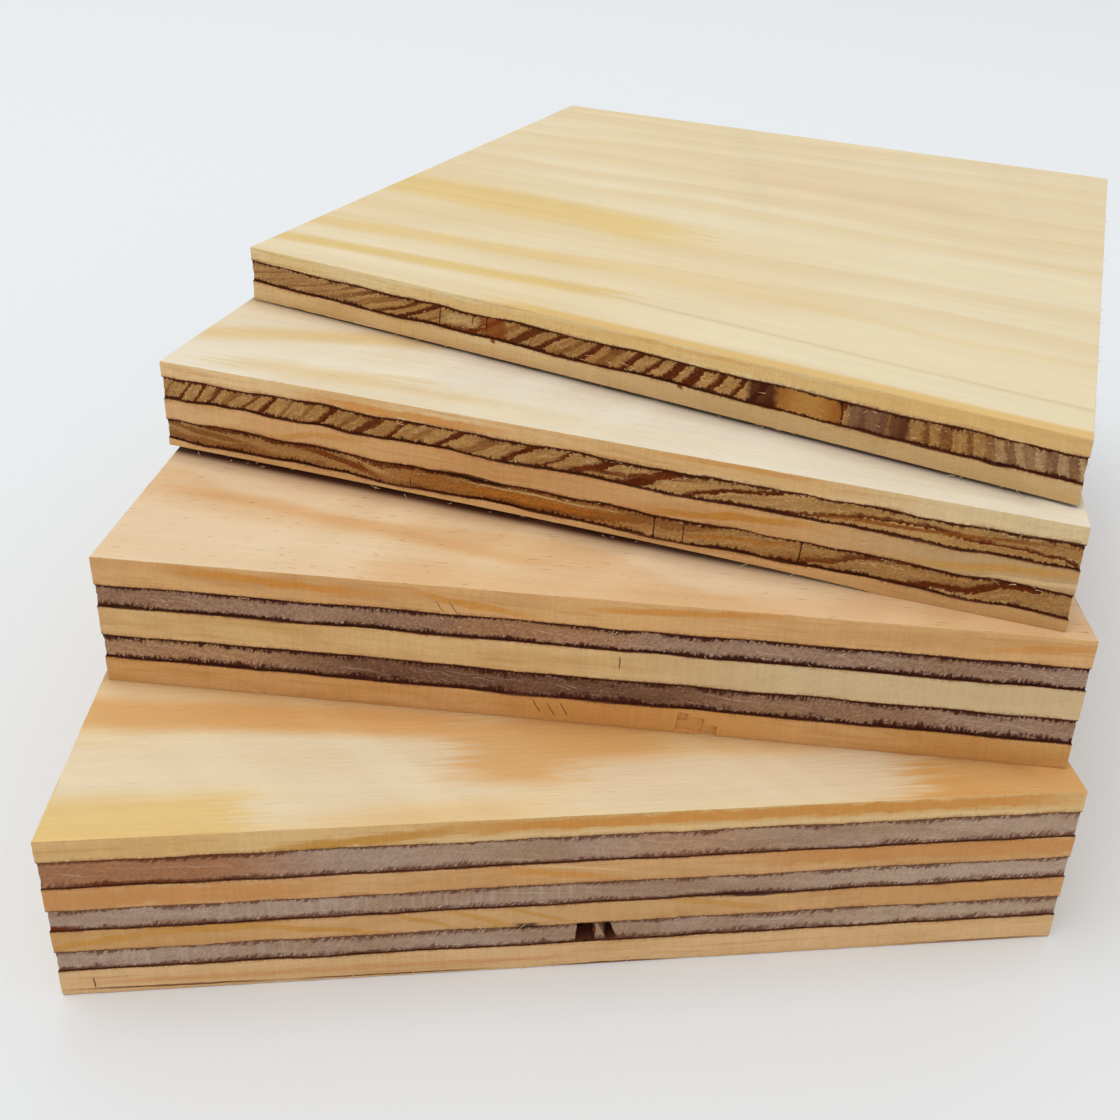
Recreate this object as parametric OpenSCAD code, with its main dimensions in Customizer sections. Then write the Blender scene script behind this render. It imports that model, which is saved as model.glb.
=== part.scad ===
// Four plywood sheets lying in a loose stack, the thickest at the bottom.
// Each sheet is turned clockwise on the one below, nearly about its front right corner.
// The origin is the centre of the bottom sheet's underside: +X runs along its front edge,
// +Y goes from its front edge to its back edge, and +Z is up. Sizes are in millimetres.
// The grain of every face veneer runs along its sheet's front edge.

/* [All sheets] */
// Width of each sheet, along its front edge
sheet_w = 100; // [60:1:200]
// Depth of each sheet, from its front edge to its back edge
sheet_d = 96; // [60:1:200]

/* [Bottom sheet, seven plies] */
// Thickness of its face veneer
bottom_face_t = 2.7; // [1:0.1:5]
// Thickness of its upper crossband
bottom_crossband_1_t = 3.3; // [1:0.1:5]
// Thickness of its upper inner veneer
bottom_inner_1_t = 2.9; // [1:0.1:5]
// Thickness of its middle crossband
bottom_crossband_2_t = 2.7; // [1:0.1:5]
// Thickness of its lower inner veneer
bottom_inner_2_t = 2.8; // [1:0.1:5]
// Thickness of its lower crossband
bottom_crossband_3_t = 2.6; // [1:0.1:5]
// Thickness of its back veneer
bottom_back_t = 3.3; // [1:0.1:5]

/* [Knot hole in the bottom sheet's lower crossband] */
// Diameter of the hole that a fallen knot left through the veneer
knot_hole_d = 3.6; // [1:0.1:8]
// Distance of the hole's axis to the right of the middle of the front edge
knot_hole_x = 2; // [-20:0.5:20]
// Distance of the hole's axis behind the front edge
knot_hole_inset = 0.3; // [-0.4:0.1:8]

/* [Second sheet, five plies] */
// Thickness of its face veneer
second_face_t = 3.4; // [1:0.1:5]
// Thickness of its upper crossband
second_crossband_1_t = 2.7; // [1:0.1:5]
// Thickness of its inner veneer
second_inner_t = 3.7; // [1:0.1:5]
// Thickness of its lower crossband
second_crossband_2_t = 3; // [1:0.1:5]
// Thickness of its back veneer
second_back_t = 3.2; // [1:0.1:5]
// How far the second sheet is turned clockwise from the bottom one, in degrees
second_turn = 10; // [0:0.5:40]
// How far its front right corner lies from the bottom sheet's, along X
second_corner_x = -0.8; // [-15:0.1:15]
// How far its front right corner lies from the bottom sheet's, along Y
second_corner_y = 2.7; // [-15:0.1:15]

/* [Third sheet, five plies] */
// Thickness of its face veneer
third_face_t = 2; // [1:0.1:5]
// Thickness of its upper crossband
third_crossband_1_t = 2.8; // [1:0.1:5]
// Thickness of its inner veneer
third_inner_t = 2.8; // [1:0.1:5]
// Thickness of its lower crossband
third_crossband_2_t = 2.8; // [1:0.1:5]
// Thickness of its back veneer
third_back_t = 1.6; // [1:0.1:5]
// How far the third sheet is turned clockwise from the bottom one, in degrees
third_turn = 21.5; // [0:0.5:45]
// How far its front right corner lies from the bottom sheet's, along X
third_corner_x = -3.4; // [-15:0.1:15]
// How far its front right corner lies from the bottom sheet's, along Y
third_corner_y = 4; // [-15:0.1:15]

/* [Top sheet, three plies] */
// Thickness of its face veneer
top_face_t = 2; // [1:0.1:5]
// Thickness of its crossband
top_crossband_t = 2.9; // [1:0.1:5]
// Thickness of its back veneer
top_back_t = 2.6; // [1:0.1:5]
// How far the top sheet is turned clockwise from the bottom one, in degrees
top_turn = 31; // [0:0.5:50]
// How far its front right corner lies from the bottom sheet's, along X
top_corner_x = -3.1; // [-15:0.1:15]
// How far its front right corner lies from the bottom sheet's, along Y
top_corner_y = 6.9; // [-15:0.1:15]

/* [Hidden] */

// Colours of the wood: pale along the grain, darker where the grain ends in the edge
cream = [0.90, 0.82, 0.66];
honey = [0.82, 0.68, 0.47];
taupe = [0.56, 0.47, 0.41];
umber = [0.53, 0.37, 0.22];

// Height of each ply's underside in its sheet, from the back veneer up to the face veneer
bottom_crossband_3_z = bottom_back_t;
bottom_inner_2_z = bottom_crossband_3_z + bottom_crossband_3_t;
bottom_crossband_2_z = bottom_inner_2_z + bottom_inner_2_t;
bottom_inner_1_z = bottom_crossband_2_z + bottom_crossband_2_t;
bottom_crossband_1_z = bottom_inner_1_z + bottom_inner_1_t;
bottom_face_z = bottom_crossband_1_z + bottom_crossband_1_t;

second_crossband_2_z = second_back_t;
second_inner_z = second_crossband_2_z + second_crossband_2_t;
second_crossband_1_z = second_inner_z + second_inner_t;
second_face_z = second_crossband_1_z + second_crossband_1_t;

third_crossband_2_z = third_back_t;
third_inner_z = third_crossband_2_z + third_crossband_2_t;
third_crossband_1_z = third_inner_z + third_inner_t;
third_face_z = third_crossband_1_z + third_crossband_1_t;

top_crossband_z = top_back_t;
top_face_z = top_crossband_z + top_crossband_t;

// Height of each sheet's underside: it lies on the face veneer of the sheet below
second_z = bottom_face_z + bottom_face_t;
third_z = second_z + second_face_z + second_face_t;
top_z = third_z + third_face_z + third_face_t;

// Cuts run this far past the faces that they open
cut_over = 1;

// A veneer in its sheet's own place: its front right corner is the origin
module veneer(ply_z, ply_t) {
  translate([-sheet_w, 0, ply_z])
    cube([sheet_w, sheet_d, ply_t]);
}

// Puts a sheet's plies where the sheet lies on the stack
module lay_sheet(under_z, turn, corner_x, corner_y) {
  translate([sheet_w / 2 + corner_x, -sheet_d / 2 + corner_y, under_z])
    rotate([0, 0, -turn])
      children();
}

module lay_bottom() {
  lay_sheet(0, 0, 0, 0) children();
}

module lay_second() {
  lay_sheet(second_z, second_turn, second_corner_x, second_corner_y) children();
}

module lay_third() {
  lay_sheet(third_z, third_turn, third_corner_x, third_corner_y) children();
}

module lay_top() {
  lay_sheet(top_z, top_turn, top_corner_x, top_corner_y) children();
}

// The hole goes through the veneer's thickness and the saw cut it open at the front edge
module knot_hole() {
  translate([knot_hole_x - sheet_w / 2, knot_hole_inset, bottom_crossband_3_z - cut_over])
    cylinder(d = knot_hole_d, h = bottom_crossband_3_t + 2 * cut_over, $fn = 48);
}

module bottom_face() {
  color(honey) lay_bottom() veneer(bottom_face_z, bottom_face_t);
}

module bottom_crossband_1() {
  color(taupe) lay_bottom() veneer(bottom_crossband_1_z, bottom_crossband_1_t);
}

module bottom_inner_1() {
  color(honey) lay_bottom() veneer(bottom_inner_1_z, bottom_inner_1_t);
}

module bottom_crossband_2() {
  color(taupe) lay_bottom() veneer(bottom_crossband_2_z, bottom_crossband_2_t);
}

module bottom_inner_2() {
  color(honey) lay_bottom() veneer(bottom_inner_2_z, bottom_inner_2_t);
}

module bottom_crossband_3() {
  color(taupe) lay_bottom() difference() {
    veneer(bottom_crossband_3_z, bottom_crossband_3_t);
    knot_hole();
  }
}

module bottom_back() {
  color(honey) lay_bottom() veneer(0, bottom_back_t);
}

module second_face() {
  color(honey) lay_second() veneer(second_face_z, second_face_t);
}

module second_crossband_1() {
  color(taupe) lay_second() veneer(second_crossband_1_z, second_crossband_1_t);
}

module second_inner() {
  color(honey) lay_second() veneer(second_inner_z, second_inner_t);
}

module second_crossband_2() {
  color(taupe) lay_second() veneer(second_crossband_2_z, second_crossband_2_t);
}

module second_back() {
  color(honey) lay_second() veneer(0, second_back_t);
}

module third_face() {
  color(cream) lay_third() veneer(third_face_z, third_face_t);
}

module third_crossband_1() {
  color(umber) lay_third() veneer(third_crossband_1_z, third_crossband_1_t);
}

module third_inner() {
  color(honey) lay_third() veneer(third_inner_z, third_inner_t);
}

module third_crossband_2() {
  color(umber) lay_third() veneer(third_crossband_2_z, third_crossband_2_t);
}

module third_back() {
  color(honey) lay_third() veneer(0, third_back_t);
}

module top_face() {
  color(cream) lay_top() veneer(top_face_z, top_face_t);
}

module top_crossband() {
  color(umber) lay_top() veneer(top_crossband_z, top_crossband_t);
}

module top_back() {
  color(cream) lay_top() veneer(0, top_back_t);
}

bottom_face();
bottom_crossband_1();
bottom_inner_1();
bottom_crossband_2();
bottom_inner_2();
bottom_crossband_3();
bottom_back();
second_face();
second_crossband_1();
second_inner();
second_crossband_2();
second_back();
third_face();
third_crossband_1();
third_inner();
third_crossband_2();
third_back();
top_face();
top_crossband();
top_back();
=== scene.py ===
"""Looks for a loose stack of four plywood offcuts: twenty veneers, with sawn edges and dark glue lines.

Lengths are in metres, unless a name ends in _mm. Each sheet has a frame of its own: along runs from its
front left corner along the front edge, across goes from the front edge to the back edge, and up starts at
its underside.
"""

import math
import random

import bpy
from mathutils import Euler, Matrix, Vector, noise


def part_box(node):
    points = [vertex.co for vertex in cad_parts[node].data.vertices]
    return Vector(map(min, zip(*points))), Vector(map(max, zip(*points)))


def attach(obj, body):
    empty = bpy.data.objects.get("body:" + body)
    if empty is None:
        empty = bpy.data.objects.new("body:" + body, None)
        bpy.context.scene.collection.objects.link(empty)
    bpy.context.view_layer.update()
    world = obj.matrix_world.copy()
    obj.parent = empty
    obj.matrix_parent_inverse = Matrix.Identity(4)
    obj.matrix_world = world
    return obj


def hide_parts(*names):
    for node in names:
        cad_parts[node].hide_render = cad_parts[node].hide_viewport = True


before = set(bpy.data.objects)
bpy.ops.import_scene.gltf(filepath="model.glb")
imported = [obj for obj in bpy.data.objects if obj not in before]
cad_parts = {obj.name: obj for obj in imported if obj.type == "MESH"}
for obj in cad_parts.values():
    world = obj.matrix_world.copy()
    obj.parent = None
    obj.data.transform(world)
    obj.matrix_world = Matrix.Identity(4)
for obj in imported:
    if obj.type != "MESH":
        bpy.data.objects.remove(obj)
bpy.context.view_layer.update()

MM = 0.001
SHEETS = ("bottom", "second", "third", "top")

# How finely the sawn edges are divided
RIM_STEPS = 400
EDGE_ROWS = 8
RIM_INSET = 0.2 * MM


# ---------------------------------------------------------------- modelling helpers


def activate(piece):
    """Leaves edit mode and makes the piece the only one selected."""
    if bpy.context.object and bpy.context.object.mode == "EDIT":
        bpy.ops.object.mode_set(mode="OBJECT")
    bpy.ops.object.select_all(action="DESELECT")
    piece.select_set(True)
    bpy.context.view_layer.objects.active = piece


def pick(piece, kind, test):
    """Enters edit mode with only those vertices, edges or polygons selected that pass the test."""
    activate(piece)
    mesh = piece.data
    for parts in (mesh.vertices, mesh.edges, mesh.polygons):
        parts.foreach_set("select", [False] * len(parts))
    for part in getattr(mesh, kind):
        part.select = bool(test(part))
    modes = ("vertices", "edges", "polygons")
    bpy.context.tool_settings.mesh_select_mode = [kind == mode for mode in modes]
    bpy.ops.object.mode_set(mode="EDIT")


def leave_edit():
    bpy.ops.object.mode_set(mode="OBJECT")


def apply_place(piece):
    """Puts the object's place, turn and size into its mesh."""
    activate(piece)
    bpy.ops.object.transform_apply(location=True, rotation=True, scale=True)


def shaped(size, turn, spot):
    """Sizes, turns and places the primitive just made, and returns it."""
    made = bpy.context.object
    made.scale = size
    made.rotation_euler = turn
    made.location = spot
    apply_place(made)
    return made


def copy_of(piece, name):
    """A copy with a mesh of its own."""
    made = piece.copy()
    made.data = piece.data.copy()
    made.name = name
    made.data.name = name
    bpy.context.collection.objects.link(made)
    return made


def clouds(name, size_mm):
    """A solid noise whose lumps are about that wide."""
    texture = bpy.data.textures.new(name, type="CLOUDS")
    texture.noise_scale = size_mm * MM
    texture.noise_depth = 2
    return texture


def displace(piece, texture, strength_mm, direction="NORMAL", group="", middle=0.5):
    """Moves the vertices, or those of one group, by a noise, or evenly where there is no texture."""
    activate(piece)
    modifier = piece.modifiers.new("displace", "DISPLACE")
    modifier.texture = texture
    modifier.texture_coords = "GLOBAL"
    modifier.strength = strength_mm * MM
    modifier.mid_level = middle
    modifier.direction = direction
    modifier.vertex_group = group
    bpy.ops.object.modifier_apply(modifier=modifier.name)


def weigh(piece, name, weight_of):
    """A vertex group whose weight at each vertex is worked out from its place in the sheet."""
    group = piece.vertex_groups.new(name=name)
    levels = {}
    for vertex in piece.data.vertices:
        weight = round(min(1.0, max(0.0, weight_of(vertex.co))), 3)
        levels.setdefault(weight, []).append(vertex.index)
    for weight, indices in levels.items():
        if weight > 0:
            group.add(indices, weight, "REPLACE")
    return name


# ---------------------------------------------------------------- the sheets as the frame gives them


class Sheet:
    """A sheet's place, size and plies, read from its CAD nodes."""

    def __init__(self, name):
        self.name = name
        nodes = [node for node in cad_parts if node.startswith(name + "_")]
        self.nodes = sorted(nodes, key=lambda node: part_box(node)[0].z)
        corners = [vertex.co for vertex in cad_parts[self.nodes[-1]].data.vertices]
        front_right = min(corners, key=lambda co: co.y - 0.05 * co.x)
        front_left = min(corners, key=lambda co: co.x + 0.05 * co.y)
        back_left = max(corners, key=lambda co: co.y - 0.05 * co.x)
        edge = front_right - front_left
        self.turn = math.atan2(edge.y, edge.x)
        self.width = edge.xy.length
        self.depth = (back_left - front_left).xy.length
        self.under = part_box(self.nodes[0])[0].z
        self.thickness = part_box(self.nodes[-1])[1].z - self.under
        self.place = Vector((front_left.x, front_left.y, self.under))

    def ply(self, node):
        """Height of a ply's underside in the sheet, and its thickness."""
        low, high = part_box(node)
        return low.z - self.under, high.z - low.z


# ---------------------------------------------------------------- wood finishes


def tone(red, green, blue):
    """A colour given by its 0 to 255 display values, as the shader wants it."""
    return [((value / 255 + 0.055) / 1.055) ** 2.4 for value in (red, green, blue)] + [1.0]


class Field:
    """A number that varies over a surface. Arithmetic on it adds Math nodes."""

    def __init__(self, finish, socket):
        self.finish = finish
        self.socket = socket

    def __add__(self, other):
        return self.finish.math("ADD", self, other)

    __radd__ = __add__

    def __sub__(self, other):
        return self.finish.math("SUBTRACT", self, other)

    def __rsub__(self, other):
        return self.finish.math("SUBTRACT", other, self)

    def __mul__(self, other):
        return self.finish.math("MULTIPLY", self, other)

    __rmul__ = __mul__

    def fract(self):
        return self.finish.math("FRACT", self)

    def floor(self):
        return self.finish.math("FLOOR", self)

    def absolute(self):
        return self.finish.math("ABSOLUTE", self)

    def capped(self):
        return self.finish.math("MINIMUM", self, 1.0)

    def rise(self, low, high):
        """0 below low, 1 above high, and smooth between them. low may be the larger one."""
        return self.finish.rise(self, low, high)

    def hump(self, low, rise_to, fall_from, high):
        """Rises from low to rise_to and falls from fall_from to high."""
        return self.rise(low, rise_to) * self.rise(high, fall_from)


class Finish:
    """A wood finish in the making, with a short call for each kind of node that it needs."""

    def __init__(self, name):
        self.material = bpy.data.materials.new(name)
        self.material.use_nodes = True
        self.tree = self.material.node_tree
        self.shader = self.tree.nodes["Principled BSDF"]
        place = self.add("ShaderNodeAttribute")
        place.attribute_name = "sheet_mm"
        self.place = place.outputs["Vector"]
        axes = self.add("ShaderNodeSeparateXYZ")
        self.join(self.place, axes.inputs[0])
        self.along, self.across, self.up = [Field(self, output) for output in axes.outputs]
        through = self.add("ShaderNodeAttribute")
        through.attribute_name = "through"
        self.through = Field(self, through.outputs["Fac"])
        self.shared = {}

    def add(self, kind):
        return self.tree.nodes.new(kind)

    def join(self, source, target):
        self.tree.links.new(source, target)

    def feed(self, target, value):
        """Sets a socket to a number or colour, or links a field or an output to it."""
        if isinstance(value, Field):
            self.join(value.socket, target)
        elif isinstance(value, bpy.types.NodeSocket):
            self.join(value, target)
        else:
            target.default_value = value

    def math(self, operation, *values):
        node = self.add("ShaderNodeMath")
        node.operation = operation
        for target, value in zip(node.inputs, values):
            self.feed(target, value)
        return Field(self, node.outputs[0])

    def rise(self, value, low, high):
        node = self.add("ShaderNodeMapRange")
        node.interpolation_type = "SMOOTHSTEP"
        self.feed(node.inputs["Value"], value)
        self.feed(node.inputs["From Min"], low)
        self.feed(node.inputs["From Max"], high)
        return Field(self, node.outputs[0])

    def read_noise(self, place, detail, rough, scale=1.0):
        node = self.add("ShaderNodeTexNoise")
        node.inputs["Scale"].default_value = scale
        node.inputs["Detail"].default_value = detail
        node.inputs["Roughness"].default_value = rough
        self.join(place, node.inputs["Vector"])
        return Field(self, node.outputs["Fac"])

    def noise(self, sizes_mm, detail=2.0, rough=0.5, shift=0.0):
        """Noise with lumps of those sizes along, across and up."""
        mapping = self.add("ShaderNodeMapping")
        mapping.inputs["Scale"].default_value = [1 / size for size in sizes_mm]
        mapping.inputs["Location"].default_value = [shift, 1.7 * shift, 0.6 * shift]
        self.join(self.place, mapping.inputs["Vector"])
        return self.read_noise(mapping.outputs[0], detail, rough)

    def noise_on(self, first, second, third=0.0, detail=2.0, rough=0.5):
        """Noise read at a place made of three fields or numbers."""
        place = self.add("ShaderNodeCombineXYZ")
        for target, value in zip(place.inputs, (first, second, third)):
            self.feed(target, value)
        return self.read_noise(place.outputs[0], detail, rough)

    def grain(self, course, sizes_mm, detail=2.0, rough=0.5, shift=0.0, lean=0.0):
        """Noise on a sawn edge: its sizes along and up, and its lean forward for each mm of height."""
        size, height = sizes_mm
        run = course * (1 / size) + shift
        if lean:
            run = run - self.up * (lean / size)
        return self.noise_on(run, self.up * (1 / height), 0.37 * shift + 5.3, detail, rough)

    def ragged(self, course):
        """One noise that all of the edge's marks share, so that their outlines waver."""
        if "ragged" not in self.shared:
            self.shared["ragged"] = self.grain(course, (2.4, 1.0), 3.0, 0.6, shift=2.5) - 0.5
        return self.shared["ragged"]

    def dice(self, value):
        """A random number for each whole number."""
        node = self.add("ShaderNodeTexWhiteNoise")
        node.noise_dimensions = "1D"
        self.feed(node.inputs["W"], value)
        return Field(self, node.outputs["Value"])

    def mix(self, share, first, second, blend="MIX"):
        node = self.add("ShaderNodeMix")
        node.data_type = "RGBA"
        node.blend_type = blend
        self.feed(node.inputs[0], share)
        self.feed(node.inputs[6], first)
        self.feed(node.inputs[7], second)
        return node.outputs[2]

    def shade(self, colour, amount):
        """The colour times a number that varies about 1."""
        grey = self.add("ShaderNodeCombineXYZ")
        for target in grey.inputs:
            self.feed(target, amount)
        return self.mix(1.0, colour, grey.outputs[0], "MULTIPLY")

    def close(self, colour, roughness, height_mm, gloss=0.06):
        """Connects the shader, with a bump whose height is in millimetres."""
        bump = self.add("ShaderNodeBump")
        bump.inputs["Distance"].default_value = MM
        bump.inputs["Strength"].default_value = 1.0
        self.feed(bump.inputs["Height"], height_mm)
        self.join(bump.outputs[0], self.shader.inputs["Normal"])
        self.join(colour, self.shader.inputs["Base Color"])
        self.feed(self.shader.inputs["Roughness"], roughness)
        self.shader.inputs["Specular IOR Level"].default_value = gloss
        return self.material


GLUE = tone(62, 26, 10)
DARK_CRACK = tone(40, 18, 8)


def glue_borders(f, course, ply_mm, under, over, look):
    """How much glue shows at the ply's lower and upper faces, and how much of its stain feathers in."""
    below = f.through * ply_mm
    shift = look.get("shift", 0.0)
    swell = f.grain(course, (5.0, 2.5), 2.0, 0.6, shift=shift).rise(0.36, 0.64)
    tick_lean = look.get("tick_lean", 0.0)
    ticks = f.grain(course, (0.34, 1.5), 3.0, 0.6, shift=shift, lean=tick_lean).rise(0.4, 0.68)
    crumbs = f.grain(course, (0.24, 0.22), 2.0, 0.6, shift=shift).rise(0.3, 0.7)
    speck = f.fuzz.rise(0.6, 0.46)
    f.crumbs = crumbs
    line = look["line"] * (0.12 + 0.75 * swell) + crumbs * look["line"] * 0.7
    line = line + ticks * look["line"] * 0.9 + 0.02
    stain = line + ticks * (0.25 + 0.75 * swell) * look["reach"] + 0.04
    haze = look["haze"] * (0.4 + 0.6 * swell) + 0.05
    glue = 0.0
    soak = 0.0
    for wanted, gap in ((under, below), (over, ply_mm - below)):
        if wanted:
            glue = gap.rise(line, line * 0.55) + glue
            soak = (gap.rise(stain, stain * 0.3) + gap.rise(haze, haze * 0.1) * speck).capped() + soak
    if not (under or over):
        return 0.0, 0.0
    return glue.capped(), soak.capped()


def lens(f, colour, course, mark):
    """A band of other wood, or of painted shade, that climbs or falls through the ply, given by shares of
    the ply's thickness.
    """
    start, stop, first, last, half, shade, strength = mark
    slope = (last - first) / (stop - start)
    centre = first - start * slope + course * slope + f.ragged(course) * half * 1.6
    off = (f.through - centre).absolute()
    soft = min(12.0, 0.35 * (stop - start))
    reach = course.hump(start, start + soft, stop - soft, stop)
    return f.mix(off.rise(half, half * 0.45) * reach * strength, colour, shade)


def crack(f, colour, course, mark):
    """A dark upright crack: its place, lower and upper end, half width and lean."""
    spot, low, high, half, lean = mark
    off = (course + f.ragged(course) * 0.35 - f.through * lean - spot).absolute()
    mask = off.rise(half, half * 0.4) * f.through.hump(low - 0.1, low + 0.05, high - 0.05, high + 0.1)
    return f.mix(mask * 0.8, colour, DARK_CRACK), mask


def pocket(f, colour, course, mark):
    """A stretch of the ply soaked with resin or of other wood, from start to stop along the edge."""
    start, stop, soft, shade, strength = mark
    moved = course + f.ragged(course) * min(soft, 1.0) * 3.0
    mask = moved.hump(start - soft, start + soft, stop - soft, stop + soft) * strength
    return f.mix(mask, colour, shade)


def crosscut_edge(name, run, ply_mm, look, under=True, over=True):
    """A sawn edge that cuts the fibres: torn end grain with growth rings, and glue drawn into its pores."""
    f = Finish(name)
    course = f.along if run == "along" else f.across
    shift = look.get("shift", 0.0)
    wobble = f.grain(course, (look.get("wobble_size", 6.0), 3.0), 2.0, shift=shift)
    jag = f.grain(course, (0.4, 0.4), 2.0, shift=shift)
    rings = course * look["pace"] + course * course * look["quicken"]
    rings = rings + f.through * (look["lean"] + course * look.get("lean_turn", 0.0))
    rings = rings + (wobble - 0.5) * look["wobble"] + (jag - 0.5) * look["jag"] + 40.0 + shift
    phase = rings.fract()
    ring = rings.floor()
    starts = look.get("starts", 0.72) - f.dice(ring) * 0.38
    strong = f.dice(ring + 17.0).rise(-0.1, 0.45)
    late = phase.rise(starts, starts + 0.22) * phase.rise(1.0, 0.94) * look["contrast"]
    for start, stop, share in look.get("calm", ()):
        late = late * (1.0 - course.hump(start - 4, start + 4, stop - 4, stop + 4) * share)
    veins = f.noise_on(rings * 5.0, f.through * 1.6, shift, 3.0, 0.65)
    fuzz = f.grain(course, (0.3, 0.42), 3.0, 0.7, shift=shift, lean=look.get("fuzz_lean", 0.5))
    f.fuzz = fuzz
    blotch = f.grain(course, (1.8, 1.3), 3.0, 0.6, shift=shift)
    patchy = f.grain(course, (14.0, 6.0), 1.0, shift=shift + 7)
    colour = f.mix(patchy.rise(0.38, 0.62), look["early"], look["early_2"])
    for mark in look.get("zones", ()):
        colour = pocket(f, colour, course, mark)
    late_tone = f.mix(strong, look["late_2"], look["late"])
    colour = f.mix(late * (0.45 + strong * 0.55), colour, late_tone)
    for mark in look.get("lenses", ()):
        colour = lens(f, colour, course, mark)
    grains = veins.rise(0.3, 0.7) * look["veins"] + fuzz.rise(0.3, 0.7) * look["fuzz"]
    colour = f.shade(colour, grains + blotch * 0.3 + (0.87 - 0.5 * look["veins"] - 0.5 * look["fuzz"]))
    fleck = f.noise_on(rings * 11.0, f.through * 2.6, shift + 4, 2.0, 0.5).rise(0.58, 0.72)
    spark = f.grain(course, (0.3, 0.14), 2.0, 0.6, shift=shift + 9, lean=1.0).rise(0.6, 0.7)
    if "bars" in look:
        start, stop = look["bars"]
        bars = f.grain(course, (0.7, 9.0), 2.0, shift=shift).rise(0.45, 0.65)
        stretch = course.hump(start - 3, start + 3, stop - 3, stop + 3)
        colour = f.mix(bars * stretch * 0.4, colour, tone(204, 182, 162))
    light = (fleck * 0.7 + spark * 0.6) * (1.0 - late * 0.8) * look["whiskers"]
    colour = f.mix(light.capped(), colour, look["whisker"])
    glue, soak = glue_borders(f, course, ply_mm, under, over, look)
    colour = f.mix(soak * look["soak"], colour, look["stain"])
    height = fuzz * 0.22
    for mark in look.get("resin", ()):
        colour = pocket(f, colour, course, mark)
    glue_tone = f.mix(f.crumbs * 0.7, look.get("glue_tone", GLUE), look["stain"])
    colour = f.mix(glue * 0.95, colour, glue_tone)
    for mark in look.get("cracks", ()):
        colour, mask = crack(f, colour, course, mark)
        height = height - mask * 0.2
    for mark in look.get("blobs", ()):
        colour = lens(f, colour, course, mark)
    return f.close(colour, 0.55 + fuzz * 0.3 - glue * 0.1, height)


def ripcut_edge(name, run, ply_mm, look, under=True, over=True):
    """A sawn edge along the fibres: pale wood with slanting bands of deeper tone and faint saw marks."""
    f = Finish(name)
    course = f.along if run == "along" else f.across
    shift = look.get("shift", 0.0)
    patchy = f.grain(course, (16.0, 3.0), 2.0, shift=shift)
    streak = f.grain(course, (9.0, 0.5), 3.0, 0.6, shift=shift)
    fibre = f.grain(course, (1.6, 0.14), 2.0, 0.6, shift=shift)
    saw = f.grain(course, (0.3, 5.0), 2.0, 0.6, shift=shift)
    chatter = f.grain(course, (1.5, 9.0), 2.0, shift=shift + 5)
    tear = f.grain(course, (0.34, 0.4), 3.0, 0.7, shift=shift, lean=0.8)
    f.fuzz = tear
    colour = f.mix(patchy.rise(0.35, 0.65), look["pale"], look["pale_2"])
    colour = f.mix(streak.rise(0.5, 0.7) * look["streaks"], colour, look["streak"])
    for mark in look.get("zones", ()):
        colour = pocket(f, colour, course, mark)
    for mark in look.get("lenses", ()):
        colour = lens(f, colour, course, mark)
    colour = f.shade(colour, 0.67 + fibre * 0.2 + saw * 0.2 + chatter * 0.12 + tear * 0.14)
    pit = tear.rise(0.38, 0.26) * 0.5
    colour = f.mix(pit, colour, look["streak"])
    glue, soak = glue_borders(f, course, ply_mm, under, over, dict(look, line=0.08, reach=0.3, haze=0.6))
    colour = f.mix(soak * 0.4, colour, tone(158, 98, 50))
    colour = f.mix(glue * 0.8, colour, look.get("glue_tone", tone(84, 40, 20)))
    height = saw * 0.03 + tear * 0.1
    for mark in look.get("cracks", ()):
        colour, mask = crack(f, colour, course, mark)
        height = height - mask * 0.2
    for mark in look.get("blobs", ()):
        colour = lens(f, colour, course, mark)
    return f.close(colour, 0.55 + saw * 0.2, height)


def peeled_face(name, look):
    """A rotary-peeled face: broad flowing growth bands with feathered ends, over fine fibre.

    A strip along and just in front of the next sheet up's front edge is darkened with painted shadow, where
    the gap under that edge is seen.
    """
    f = Finish(name)
    shift = look.get("shift", 0.0)
    flow = f.noise((60.0, 16.0, 40.0), 1.0, shift=shift)
    feather = f.noise((9.0, 0.45, 5.0), 3.0, 0.6)
    rings = f.across * look["pace"] + f.along * look["drift"] + flow * look["flow"] + feather * 0.16
    phase = rings.fract()
    which = f.dice(rings.floor())
    late = phase.hump(0.1, 0.7, 0.86, 1.0) * (0.15 + which * 0.85)
    broad = f.noise((50.0, 22.0, 30.0), 1.0, shift=4.0)
    band = f.noise((36.0, 1.5, 30.0), 3.0, 0.6, shift=6.0)
    fibre = f.noise((6.0, 0.22, 1.0), 3.0, 0.6)
    blush = f.noise((14.0, 9.0, 9.0), 2.0, shift=9.0)
    fleck = f.noise((2.0, 0.16, 1.0), 1.0, 0.5, shift=8.0).rise(0.7, 0.77)
    colour = f.mix(broad.rise(0.35, 0.65), look["early"], look["early_2"])
    colour = f.mix(late.capped() * look["contrast"], colour, look["late"])
    for patch in look.get("patches", ()):
        colour = stain_patch(f, colour, feather, patch)
    colour = f.shade(colour, 0.84 + fibre * 0.13 + band * 0.14 + blush * 0.05)
    colour = f.mix(fleck * look["flecks"], colour, look["fleck"])
    # Painted shadow: a soft red-brown strip along the next sheet's front edge, fading out towards that
    # edge's right end.
    if look.get("dark"):
        start, slope, right = look["dark"]
        behind = f.across - f.along * slope - start
        fading = f.along.rise(right - 2.0, right - look.get("fade", 5.0))
        soft = behind.hump(-3.0, 0.4, 4.0, 6.0) * 0.5 + behind.hump(-0.9, 0.3, 4.0, 6.0) * 0.5
        colour = f.mix(soft * fading * look.get("shadow", 0.6), colour, tone(104, 42, 16))
    torn = f.noise((2.6, 0.3, 1.0), 3.0, 0.7, shift=15.0)
    height = fibre * 0.03 + torn * look.get("torn", 0.05)
    return f.close(colour, 0.5 + fibre * 0.2, height, 0.2)


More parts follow.
